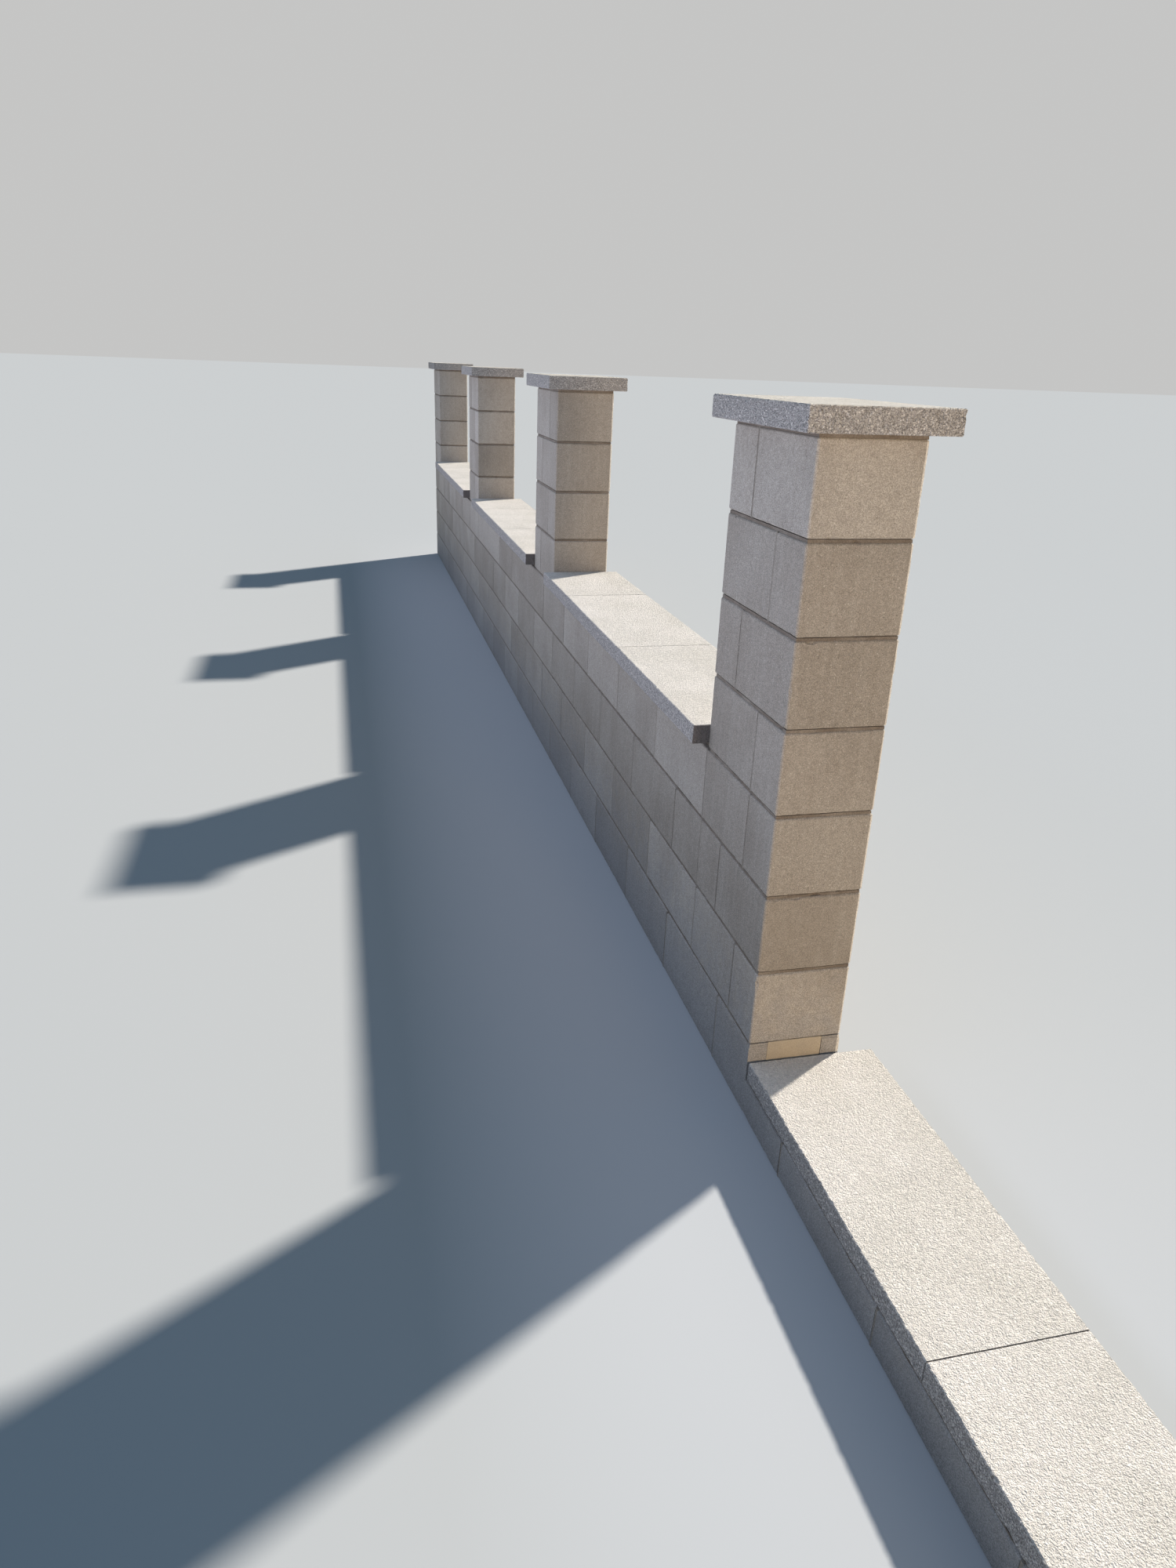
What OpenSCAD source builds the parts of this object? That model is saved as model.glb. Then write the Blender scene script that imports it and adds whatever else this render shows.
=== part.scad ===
// Low garden wall of concrete blocks with square piers, stone slabs on top and a lower sill at one end.
// The wall runs along X. The sill end is at +X and the seen, smoother side faces -Y.
// The origin is the middle of the underside of the whole wall's box.

/* [Wall] */
// Number of bays between piers
bay_count = 3; // [1:1:6]
// Distance from the front of one pier to the front of the next
pier_pitch = 2488; // [1300:1:3500]
// Thickness of the wall and of the piers
wall_t = 238; // [200:1:300]
// Block courses in the low wall
wall_courses = 4; // [2:1:6]
// Block courses in a pier above the low wall
pier_courses = 4; // [1:1:7]

/* [Blocks] */
// Height of one course with its bed joint
course_h = 200; // [160:5:250]
// Length of one whole block, which is also the length of a pier
block_l = 446; // [380:2:500]
// Thickness of a hollow block's side shells
shell_t = 48; // [30:2:60]
// Height of a bed joint
bed_joint = 8; // [4:1:12]
// Depth of a bed joint behind the faces of the blocks
joint_depth = 7; // [3:1:12]

/* [Slabs] */
// Thickness of every slab
slab_t = 51; // [40:1:80]
// Width of the coping and sill slabs
slab_w = 328; // [310:2:400]
// Length of a whole coping slab
coping_l = 779; // [500:1:1000]
// Gap between two slabs in a row
slab_gap = 3; // [2:1:8]
// How far a pier cap stands out over its pier on each side
cap_overhang = 45; // [20:1:70]
// Height of the mortar bed below the coping slabs
coping_bed_h = 18; // [5:1:25]
// Depth of that mortar bed behind the faces of the wall
coping_bed_inset = 12; // [5:1:25]
// Height of the mortar bed below the pier caps
cap_bed_h = 9; // [5:1:25]
// Depth of that mortar bed behind the faces of the pier
cap_bed_inset = 3; // [2:1:25]

/* [Sill] */
// Number of slabs on the low sill in front of the first pier
sill_slabs = 2; // [1:1:4]
// Length of one sill slab
sill_slab_l = 829; // [500:1:1000]
// Height of the sill's top above the ground
sill_h = 150; // [120:2:160]
// Height of the mortar bed below the sill slabs
sill_bed = 6; // [3:1:10]
// Depth of the concrete fill that shows in the first block's cut end
fill_depth = 180; // [100:10:200]

/* [Hidden] */
pier_count = bay_count + 1;
block_h = course_h - bed_joint;
wall_l = bay_count * pier_pitch + block_l;
sill_l = sill_slabs * (sill_slab_l + slab_gap);
wall_top = wall_courses * course_h - bed_joint;
pier_top = (wall_courses + pier_courses) * course_h - bed_joint;
bay_l = pier_pitch - block_l;
bay_slabs = ceil(bay_l / (coping_l + slab_gap));

// The box around the whole wall, measured from the first pier's front face and the wall's middle plane
side_reach = max(cap_overhang, (slab_w - wall_t) / 2);
box_near = sill_l;
box_far = -wall_l - cap_overhang;
box_left = -wall_t / 2 - side_reach;
box_right = max(wall_t / 2 + side_reach, slab_w - wall_t / 2);
origin_x = (box_near + box_far) / 2;
origin_y = (box_left + box_right) / 2;

block_colour = [0.62, 0.59, 0.54];
mortar_colour = [0.50, 0.47, 0.42];
fill_colour = [0.68, 0.61, 0.48];
slab_colour = [0.80, 0.78, 0.75];

function pier_front(n) = -(n - 1) * pier_pitch;
function pier_rear(n) = pier_front(n) - block_l;

// A block shape from x1 to x2 and from z1 to z2, set in by inset from both faces of the wall
module layer(x1, x2, z1, z2, inset = 0) {
    translate([x1, -wall_t / 2 + inset, z1])
        cube([x2 - x1, wall_t - 2 * inset, z2 - z1]);
}

// Moves a shape from the wall's own place to the part's origin
module at_origin() {
    translate([-origin_x, -origin_y, 0]) children();
}

// One course of blocks over the whole wall, with the recessed bed joint that it lies on
module wall_course(n) {
    z = (n - 1) * course_h;
    color(block_colour) at_origin() difference() {
        union() {
            layer(-wall_l, 0, z, z + block_h);
            if (n > 1)
                layer(-wall_l + joint_depth, -joint_depth, z - bed_joint, z, joint_depth);
        }
        if (n == 1)
            layer(-fill_depth, 1, z - 1, z + block_h + 1, shell_t);
    }
}

// Blocks sawn down to carry the sill slabs, with the thin bed on top of them
module sill_course() {
    color(block_colour) at_origin() {
        layer(0, sill_l, 0, sill_h - slab_t - sill_bed);
        layer(0, sill_l - joint_depth, sill_h - slab_t - sill_bed, sill_h - slab_t, joint_depth);
    }
}

// Concrete fill between the shells of the first block, which shows in its cut end above the sill
module core_fill() {
    color(fill_colour) at_origin() layer(-fill_depth, 0, 0, block_h, shell_t);
}

// A slab of the low sill, flush with the wall on one side and standing out on the other
module sill_slab(n) {
    x = (n - 1) * (sill_slab_l + slab_gap) + slab_gap;
    color(slab_colour) at_origin()
        translate([x, -wall_t / 2, sill_h - slab_t])
            cube([sill_slab_l, slab_w, slab_t]);
}

// A pier's blocks above the low wall, with a recessed bed joint below each course
module pier(n) {
    color(block_colour) at_origin()
        for (course = [1:pier_courses]) {
            z = (wall_courses + course - 1) * course_h;
            layer(pier_rear(n), pier_front(n), z, z + block_h);
            layer(pier_rear(n) + joint_depth, pier_front(n) - joint_depth, z - bed_joint, z, joint_depth);
        }
}

// Mortar between the low wall and the coping of one bay
module coping_bed(n) {
    color(mortar_colour) at_origin()
        layer(pier_front(n + 1), pier_rear(n), wall_top, wall_top + coping_bed_h, coping_bed_inset);
}

// A coping slab, counted from the first pier; the last slab of each bay is cut to fit
module coping_slab(n) {
    bay = floor((n - 1) / bay_slabs) + 1;
    place = (n - 1) % bay_slabs;
    near = pier_rear(bay) - place * (coping_l + slab_gap);
    far = max(near - coping_l, pier_front(bay + 1));
    color(slab_colour) at_origin()
        translate([far, -slab_w / 2, wall_top + coping_bed_h])
            cube([near - far, slab_w, slab_t]);
}

// Mortar between a pier and its cap
module cap_bed(n) {
    color(mortar_colour) at_origin()
        layer(pier_rear(n) + cap_bed_inset, pier_front(n) - cap_bed_inset,
              pier_top, pier_top + cap_bed_h, cap_bed_inset);
}

// The flat slab on top of a pier
module pier_cap(n) {
    color(slab_colour) at_origin()
        layer(pier_rear(n) - cap_overhang, pier_front(n) + cap_overhang,
              pier_top + cap_bed_h, pier_top + cap_bed_h + slab_t, -cap_overhang);
}

for (n = [1:wall_courses])
    wall_course(n);
sill_course();
core_fill();
for (n = [1:sill_slabs])
    sill_slab(n);
for (n = [1:pier_count])
    pier(n);
for (n = [1:bay_count])
    coping_bed(n);
for (n = [1:bay_count * bay_slabs])
    coping_slab(n);
for (n = [1:pier_count])
    cap_bed(n);
for (n = [1:pier_count])
    pier_cap(n);
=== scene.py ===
"""A low garden wall of concrete blocks with square piers, flat caps, coping slabs and a sill.

The wall's frame gives the place and the size of every course, pier, slab and bed. The operators
below lay single blocks, mortar joints and rough stone slabs over it, and set a plain stage.
All sizes are in metres. The wall runs along X, its sill end is at +X and its seen side faces -Y.
"""
import math
import random

import bmesh
import bpy
from bpy.props import FloatProperty, FloatVectorProperty, IntProperty, PointerProperty
from mathutils import Matrix, Vector, noise


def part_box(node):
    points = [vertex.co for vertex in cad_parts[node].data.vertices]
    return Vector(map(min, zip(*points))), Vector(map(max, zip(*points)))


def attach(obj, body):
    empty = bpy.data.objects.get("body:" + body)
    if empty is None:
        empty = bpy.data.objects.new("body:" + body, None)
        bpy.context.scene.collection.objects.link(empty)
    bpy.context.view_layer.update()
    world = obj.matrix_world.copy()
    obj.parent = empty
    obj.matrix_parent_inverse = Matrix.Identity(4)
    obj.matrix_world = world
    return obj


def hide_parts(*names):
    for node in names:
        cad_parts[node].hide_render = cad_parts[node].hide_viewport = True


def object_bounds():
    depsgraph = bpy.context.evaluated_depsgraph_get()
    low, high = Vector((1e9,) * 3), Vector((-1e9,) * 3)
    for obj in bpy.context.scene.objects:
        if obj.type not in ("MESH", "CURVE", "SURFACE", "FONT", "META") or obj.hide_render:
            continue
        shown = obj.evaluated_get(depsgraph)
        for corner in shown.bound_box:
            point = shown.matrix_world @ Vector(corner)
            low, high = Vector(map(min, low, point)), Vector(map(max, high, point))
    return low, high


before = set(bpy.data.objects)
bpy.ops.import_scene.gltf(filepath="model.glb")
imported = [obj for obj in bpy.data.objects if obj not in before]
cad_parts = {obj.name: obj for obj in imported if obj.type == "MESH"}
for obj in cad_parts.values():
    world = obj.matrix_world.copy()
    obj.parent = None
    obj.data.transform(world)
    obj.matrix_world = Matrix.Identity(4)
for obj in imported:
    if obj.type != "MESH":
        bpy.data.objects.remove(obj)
CAD_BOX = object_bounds()

bl_info = {
    "name": "Concrete Block Garden Wall",
    "version": (1, 0, 0),
    "blender": (4, 5, 0),
    "location": "View3D > Sidebar > Garden Wall",
    "description": "Lays a block wall with piers, caps, coping and a low sill over its frame",
    "category": "Add Mesh",
}

AXES = (0, 1, 2)
X, Y, Z = AXES
UP = Vector((0.0, 0.0, 1.0))

# Planes that are closer than this are one plane
HAIR = 1e-5
# An edge runs along an axis if more than this share of its length does
STRAIGHT = 0.999
# Points within this many widths of an arris from an edge lie on its rounding
ARRIS_REACH = 1.05
# The paint on a sealed end covers this share of its rounding
SEALED_SHARE = 0.6
# Slabs that are closer than this stand in one row
WIDEST_SLAB_GAP = 0.010
# The dark crevice above a bed joint goes this far in
CREVICE_DEPTH = 0.012
# The pocket between the shells of the sawn block, and the fill in it
POCKET_DEPTH = 0.030
FILL_DEPTH = 0.028
FILL_STEP = 0.006
# Height of the ripples in the upright joints
UPRIGHT_RIPPLE = 0.0009
# Rows of points down the side of a bed joint, of the sill's bed and of a bed below a slab
JOINT_ROWS = 3
SILL_BED_ROWS = 2
SLAB_BED_ROWS = 4

# Finenesses of the noise in the shapes, per metre, and levels above which its spots show
RUB_GRAIN = 90.0
CHIP_GRAIN = 38.0
CHIP_LEVEL = 0.42
SLAB_GRAIN = 130.0
SLAB_CHIP_DENSITY = 1.6
RIPPLE_GRAIN = 45.0
UPRIGHT_GRAIN = 50.0
VOID_GRAIN = 38.0
VOID_LEVEL = 0.40
FULL_GRAIN = 13.0
FULL_LEVEL = 0.36
FULL_SHARE = 0.45
NOISE_PEAK = 0.75
# Each part reads its patterns at its own place, within this many metres
PATTERN_SPREAD = 40.0

# The random draws of each kind of piece start here, plus the piece's number
COURSE_JOINT_SEED = 300
PIER_JOINT_SEED = 400
FILL_SEED = 500
SILL_SEED = 600
COPING_BED_SEED = 700
COPING_SEED = 800
CAP_BED_SEED = 900
CAP_SEED = 950


WALL_LOW, WALL_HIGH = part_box("wall_course_1")
BLOCK_HEIGHT = WALL_HIGH.z - WALL_LOW.z
COURSE_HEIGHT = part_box("wall_course_2")[1].z - WALL_HIGH.z
BED_JOINT = COURSE_HEIGHT - BLOCK_HEIGHT


class BlockSizes(bpy.types.PropertyGroup):
    """Sizes of the blocks and how rough their edges are."""

    whole: FloatProperty(
        name="Whole block", description="Length of a whole block with its upright joint",
        default=0.450, min=0.2, unit="LENGTH")
    upright_joint: FloatProperty(
        name="Upright joint", description="Gap between two blocks of one course",
        default=0.007, min=0.001, unit="LENGTH")
    arris: FloatProperty(
        name="Arris", description="Width of the rounded edges of a block",
        default=0.004, min=0.001, unit="LENGTH")
    step: FloatProperty(
        name="Edge step", description="Distance between two points along a worn edge",
        default=0.009, min=0.004, unit="LENGTH")
    rub: FloatProperty(
        name="Rub", description="How unevenly the edges are rubbed",
        default=0.0009, min=0.0, unit="LENGTH")
    chip: FloatProperty(
        name="Chip", description="Depth of the small chips along the edges",
        default=0.0025, min=0.0, unit="LENGTH")
    stagger: FloatProperty(
        name="Stagger", description="How far a block may sit back from the face of the wall",
        default=0.0010, min=0.0, unit="LENGTH")
    wall_seed: IntProperty(
        name="Wall seed", description="Start of the draws for the tones of the low wall's blocks",
        default=47260, min=0)
    pier_seed: IntProperty(
        name="Pier seed", description="Start of the draws for the tones of the piers' blocks",
        default=5555, min=0)


class MortarSizes(bpy.types.PropertyGroup):
    """Sizes of the mortar in the joints and under the slabs."""

    recess: FloatProperty(
        name="Bed recess", description="Depth of the bed joints behind the faces",
        default=0.0042, min=0.0, unit="LENGTH")
    crevice: FloatProperty(
        name="Crevice", description="Height of the dark crevice where a bed joint has shrunk",
        default=0.0013, min=0.0, unit="LENGTH")
    upright_recess: FloatProperty(
        name="Upright recess", description="Depth of the upright joints behind the faces",
        default=0.0012, min=0.0, unit="LENGTH")
    sill_bed: FloatProperty(
        name="Sill bed", description="Height of the thin bed under the slabs of the sill",
        default=0.004, min=0.002, unit="LENGTH")
    ripple: FloatProperty(
        name="Ripple", description="Height of the ripples in the mortar",
        default=0.0011, min=0.0, unit="LENGTH")
    void: FloatProperty(
        name="Void", description="Depth of the small voids in the mortar",
        default=0.0060, min=0.0, unit="LENGTH")
    step: FloatProperty(
        name="Mortar step", description="Distance between two points along a joint",
        default=0.009, min=0.004, unit="LENGTH")


class SlabSizes(bpy.types.PropertyGroup):
    """How the edges and sides of the stone slabs are finished."""

    arris: FloatProperty(
        name="Slab arris", description="Width of the broken edges of a slab",
        default=0.0028, min=0.001, unit="LENGTH")
    ragged: FloatProperty(
        name="Ragged edge", description="How far the edges of a slab wander",
        default=0.0024, min=0.0, unit="LENGTH")
    relief: FloatProperty(
        name="Side relief", description="Depth of the hollows in the sides of a slab",
        default=0.0009, min=0.0, unit="LENGTH")
    step: FloatProperty(
        name="Slab step", description="Distance between two points along a slab's edge",
        default=0.0055, min=0.004, unit="LENGTH")
    rows: IntProperty(
        name="Side rows", description="Rows of points down the side of a slab",
        default=6, min=1, max=12)
    joint_close: FloatProperty(
        name="Joint close", description="How far a slab's end is drawn out towards the next slab",
        default=0.0006, min=0.0, unit="LENGTH")
    joint_wear: FloatProperty(
        name="Joint wear", description="Share of the edge wear that is left where two slabs meet",
        default=0.15, min=0.0, max=1.0, subtype="FACTOR")


class WallColours(bpy.types.PropertyGroup):
    """Colours of the blocks, the slabs and the mortar."""

    block_pale: FloatVectorProperty(
        name="Pale block", description="Colour of the palest blocks",
        subtype="COLOR", size=4, default=(0.390, 0.345, 0.294, 1.0))
    block_deep: FloatVectorProperty(
        name="Deep block", description="Colour of the deepest blocks",
        subtype="COLOR", size=4, default=(0.292, 0.254, 0.211, 1.0))
    block_stain: FloatVectorProperty(
        name="Block stain", description="Colour of the damp clouds in the blocks",
        subtype="COLOR", size=4, default=(0.202, 0.170, 0.136, 1.0))
    block_bloom: FloatVectorProperty(
        name="Lime bloom", description="Colour of the pale bloom on the blocks",
        subtype="COLOR", size=4, default=(0.450, 0.412, 0.360, 1.0))
    # Partly painted light: the slab tops are made paler than the sides, as if lit from above.
    slab_top: FloatVectorProperty(
        name="Slab top", description="Colour of the upper sides of the slabs",
        subtype="COLOR", size=4, default=(0.730, 0.676, 0.600, 1.0))
    slab_pale: FloatVectorProperty(
        name="Pale grains", description="Colour of the pale grains in the slabs",
        subtype="COLOR", size=4, default=(0.765, 0.705, 0.648, 1.0))
    slab_dark: FloatVectorProperty(
        name="Dark grains", description="Colour of the dark grains in the slabs",
        subtype="COLOR", size=4, default=(0.235, 0.213, 0.197, 1.0))
    slab_sealed: FloatVectorProperty(
        name="Sealed ends", description="Colour of the slab ends sealed against the piers",
        subtype="COLOR", size=4, default=(0.235, 0.200, 0.178, 1.0))
    mortar: FloatVectorProperty(
        name="Mortar", description="Colour of the mortar in the joints",
        subtype="COLOR", size=4, default=(0.172, 0.138, 0.108, 1.0))
    fill: FloatVectorProperty(
        name="Fill", description="Colour of the concrete fill in the sawn block",
        subtype="COLOR", size=4, default=(0.385, 0.322, 0.238, 1.0))
    # Painted shade: a cool dark colour laid over the blocks towards the ground, where shade
    # falls.
    block_damp: FloatVectorProperty(
        name="Painted foot shade", description="Cool colour of the blocks near the ground",
        subtype="COLOR", size=4, default=(0.225, 0.240, 0.268, 1.0))
    dirt: FloatVectorProperty(
        name="Dirt", description="Colour of the soil splashed on the foot of the wall",
        subtype="COLOR", size=4, default=(0.150, 0.125, 0.100, 1.0))


class StudioStage(bpy.types.PropertyGroup):
    """The camera, the lamps and the plain stage."""

    eye: FloatVectorProperty(
        name="Eye", description="Place of the camera",
        subtype="XYZ", size=3, unit="LENGTH", default=(5.0724, -1.0437, 1.7099))
    heading: FloatProperty(
        name="Heading", description="Angle between the view and the wall's length",
        default=math.radians(13.906), unit="ROTATION")
    pitch: FloatProperty(
        name="Pitch", description="Angle of the view below the horizon",
        default=math.radians(22.135), unit="ROTATION")
    roll: FloatProperty(
        name="Roll", description="Tilt of the camera about its view",
        default=math.radians(2.234), unit="ROTATION")
    lens: FloatProperty(
        name="Lens", description="Focal length in millimetres for a long side of 36 mm",
        default=23.844, min=8.0)
    key: FloatProperty(name="Key", description="Strength of the key lamp", default=6.35, min=0.0)
    warm_fill: FloatProperty(
        name="Warm fill", description="Power in watts of the narrow lamp before the sill's end",
        default=3170.0, min=0.0)
    cool_strip: FloatProperty(
        name="Cool strip", description="Power in watts of the long lamp beside the seen side",
        default=52.0, min=0.0)
    sky: FloatProperty(
        name="Sky", description="Strength of the even light", default=0.37, min=0.0)
    floor: FloatVectorProperty(
        name="Floor", description="Colour of the floor",
        subtype="COLOR", size=4, default=(0.412, 0.420, 0.428, 1.0))
    backdrop: FloatVectorProperty(
        name="Backdrop", description="Colour behind the wall",
        subtype="COLOR", size=4, default=(0.560, 0.560, 0.555, 1.0))


def numbered(prefix):
    """The frame's nodes that are numbered with a prefix, as pairs of number and name."""
    count = sum(1 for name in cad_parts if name.rsplit("_", 1)[0] == prefix)
    if not count:
        raise RuntimeError(f"the frame has no node named {prefix}_1")
    return [(number, f"{prefix}_{number}") for number in range(1, count + 1)]


def runs_along(edge, axis):
    """True if an edge runs along one axis."""
    reach = edge.verts[1].co - edge.verts[0].co
    return abs(reach[axis]) > STRAIGHT * reach.length


def within(edge, axis, plane, reach):
    """True if both ends of an edge lie within reach of a plane across one axis."""
    return all(abs(vert.co[axis] - plane) < reach for vert in edge.verts)


def edges_along(part, axis):
    """The edges of a part that run along one axis."""
    return [edge for edge in part.edges if runs_along(edge, axis)]


def rim_along(part, axis, end, reach=HAIR):
    """The edges along one axis that lie within reach of an end of the part."""
    return [edge for edge in edges_along(part, axis) if within(edge, X, end, reach)]


def new_part():
    """An empty mesh with the marks that the materials read."""
    part = bmesh.new()
    for mark in ("tone", "pale", "sealed"):
        part.verts.layers.float.new(mark)
    part.verts.layers.float_vector.new("shift")
    return part


def add_box(part, low, high):
    """Adds a box between two corners to a part."""
    place = Matrix.Translation((low + high) / 2) @ Matrix.Diagonal((*(high - low), 1.0))
    bmesh.ops.create_cube(part, size=1.0, matrix=place)


def bevel_edges(part, edges, width, segments=3):
    """Rounds some edges of a part."""
    bmesh.ops.bevel(part, geom=edges, offset=width, offset_type="OFFSET", segments=segments,
                    profile=0.5, affect="EDGES", clamp_overlap=True, material=-1)


def cut_edges(part, edges, step):
    """Adds points along some edges, about one step apart. Short edges stay whole."""
    shortest = 1.5 * step
    edges = [edge for edge in edges if edge.calc_length() > shortest]
    if edges:
        longest = max(edge.calc_length() for edge in edges)
        cuts = max(1, round(longest / step) - 1)
        bmesh.ops.subdivide_edges(part, edges=edges, cuts=cuts, use_grid_fill=False)


def mark_part(part, draw):
    """Gives a part its own tone and its own place in the patterns."""
    tone = draw.uniform(-1.0, 1.0)
    shift = Vector([draw.uniform(0.0, PATTERN_SPREAD) for axis in AXES])
    tone_mark = part.verts.layers.float["tone"]
    shift_mark = part.verts.layers.float_vector["shift"]
    for vert in part.verts:
        vert[tone_mark] = tone
        vert[shift_mark] = shift
    return shift


def join_part(whole, part):
    """Moves a finished part into a piece's mesh."""
    mesh = bpy.data.meshes.new("part")
    part.to_mesh(mesh)
    part.free()
    whole.from_mesh(mesh)
    bpy.data.meshes.remove(mesh)


def soft_noise(point, grain):
    """Smooth noise from 0 to 1."""
    return 0.5 + 0.5 * noise.noise(point * grain)


def bump_above(point, grain, level):
    """A smooth spot pattern: 0 almost everywhere and up to 1 in scattered spots."""
    height = (noise.noise(point * grain) - level) / (NOISE_PEAK - level)
    height = min(max(height, 0.0), 1.0)
    return height * height * (3.0 - 2.0 * height)


def rub_arrises(part, low, high, arris, rub, chip, shift, density=1.0):
    """Rubs and chips the rounded edges. A higher density sets the chips closer together.

    A point moves only across its own rounding.
    """
    for vert in part.verts:
        gaps = [min(vert.co[axis] - low[axis], high[axis] - vert.co[axis]) for axis in AXES]
        near = [axis for axis in AXES if HAIR < gaps[axis] < arris * ARRIS_REACH]
        if not near:
            continue
        point = vert.co + shift
        depth = rub * soft_noise(point * RUB_GRAIN, density)
        depth += chip * bump_above(point, CHIP_GRAIN * density, CHIP_LEVEL)
        for axis in near:
            inward = 1.0 if vert.co[axis] - low[axis] < high[axis] - vert.co[axis] else -1.0
            vert.co[axis] += inward * depth


def press_sides(part, low, high, depth_at):
    """Moves the points on the four upright sides of a box outwards by what depth_at gives."""
    for vert in part.verts:
        point = vert.co.copy()
        for axis in (X, Y):
            if abs(point[axis] - low[axis]) < HAIR:
                vert.co[axis] -= depth_at(point)
            elif abs(point[axis] - high[axis]) < HAIR:
                vert.co[axis] += depth_at(point)


def finish_piece(name, whole, slot, nodes):
    """Turns a mesh into a piece that rides on the wall and stands for its nodes."""
    if not whole.faces:
        raise RuntimeError(f"{name} has no faces")
    mesh = bpy.data.meshes.new(name)
    whole.to_mesh(mesh)
    whole.free()
    mesh.materials.append(material_for(slot))
    piece = bpy.data.objects.new(name, mesh)
    bpy.context.scene.collection.objects.link(piece)
    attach(piece, "root")
    if nodes:
        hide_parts(*nodes)
    return piece


def course_box(node):
    """Corners of a course's blocks, without the bed joint that they lie on."""
    low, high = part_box(node)
    low.z = high.z - BLOCK_HEIGHT
    return low, high


def bed_below(low, high):
    """Corners of the bed joint below a layer of blocks."""
    return Vector((low.x, low.y, low.z - BED_JOINT)), Vector((high.x, high.y, low.z))


def course_joints(course, length, whole):
    """Upright joints of a course of the low wall, as distances from the wall's front."""
    if course == 1:
        joints = [whole / 2]
    elif course == 3:
        joints = [whole * 2 / 3, whole, whole * 3 / 2]
    else:
        joints = [whole / 3, whole]
    shortest_last = 0.2 * whole
    while joints[-1] + whole + shortest_last < length:
        joints.append(joints[-1] + whole)
    return joints


def block_spans(joints, length, gap):
    """Start and end of each block between the upright joints."""
    marks = [-gap / 2, *joints, length + gap / 2]
    return [(start + gap / 2, end - gap / 2) for start, end in zip(marks, marks[1:])]


def finish_block(whole, part, low, high, sizes, draw):
    """Marks a block, wears its edges and adds it to its piece."""
    shift = mark_part(part, draw)
    rub_arrises(part, low, high, sizes.arris, sizes.rub, sizes.chip, shift)
    join_part(whole, part)


def lay_block(whole, low, high, seen_ends, sizes, draw):
    """Lays one block. Its seen ends get rounded edges, and its other ends meet a neighbour."""
    back = draw.uniform(0.0, sizes.stagger)
    low = low + Vector((0.0, back, 0.0))
    high = high - Vector((0.0, sizes.stagger - back, 0.0))
    part = new_part()
    add_box(part, low, high)
    rounded = [
        edge for edge in part.edges
        if runs_along(edge, X) or any(within(edge, X, end, HAIR) for end in seen_ends)
    ]
    bevel_edges(part, rounded, sizes.arris)
    cut_edges(part, edges_along(part, X), sizes.step)
    for end in seen_ends:
        for axis in (Z, Y):
            rim = rim_along(part, axis, end, sizes.arris * ARRIS_REACH)
            cut_edges(part, rim, sizes.step)
    finish_block(whole, part, low, high, sizes, draw)


def lay_course(whole, low, high, joints, sizes, draw):
    """Lays the blocks of one course from its front, at high X, to its rear."""
    length = high.x - low.x
    for start, end in block_spans(joints, length, sizes.upright_joint):
        block_low = Vector((high.x - end, low.y, low.z))
        block_high = Vector((high.x - start, high.y, high.z))
        seen_ends = []
        if start < HAIR:
            seen_ends.append(block_high.x)
        if end > length - HAIR:
            seen_ends.append(block_low.x)
        lay_block(whole, block_low, block_high, seen_ends, sizes, draw)


def face_at(part, axis, plane, low, high):
    """The face that lies in a plane across one axis, with its middle between two corners."""
    for face in part.faces:
        middle = face.calc_center_median()
        flat = all(abs(vert.co[axis] - plane) < HAIR for vert in face.verts)
        if flat and all(low[a] - HAIR < middle[a] < high[a] + HAIR for a in AXES):
            return face
    raise RuntimeError("the sawn block has no face where one is needed")


def split_face(part, face, axis, plane):
    """Cuts one face of a part along a plane across one axis."""
    cut = Vector((0.0, 0.0, 0.0))
    cut[axis] = 1.0
    bmesh.ops.bisect_plane(part, geom=[face, *face.edges, *face.verts], dist=HAIR,
                           plane_co=cut * plane, plane_no=cut)


def draw_out(part, face, move):
    """Moves a face out or in, with new sides between it and its old place."""
    drawn = bmesh.ops.extrude_face_region(part, geom=[face])["geom"]
    drawn = [item for item in drawn if isinstance(item, bmesh.types.BMVert)]
    bmesh.ops.translate(part, verts=drawn, vec=move)
    bmesh.ops.delete(part, geom=[face], context="FACES_ONLY")


def sill_blocks_top():
    """Height at which the blocks under the sill are sawn off, below the bed of its slabs."""
    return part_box("sill_slab_1")[0].z - bpy.context.scene.wall_mortar.sill_bed


def raise_rear(part, front, low, high, sawn_top):
    """Raises the sawn block behind the wall's front to the height of its course."""
    top = face_at(part, Z, sawn_top, low, high)
    split_face(part, top, X, front)
    rear = face_at(part, Z, sawn_top, low, Vector((front, high.y, high.z)))
    draw_out(part, rear, UP * (high.z - sawn_top))


def sink_pocket(part, front, low, high, sawn_top):
    """Sinks the pocket for the fill into the sawn end of the block, between its shells."""
    core_low, core_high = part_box("core_fill")
    pocket_low = Vector((front, low.y, sawn_top))
    for plane in (core_low.y, core_high.y):
        face = face_at(part, X, front, pocket_low, high)
        split_face(part, face, Y, plane)
        pocket_low.y = plane
    pocket_low.y = core_low.y
    face = face_at(part, X, front, pocket_low, Vector((front, core_high.y, high.z)))
    draw_out(part, face, Vector((-POCKET_DEPTH, 0.0, 0.0)))


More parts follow.
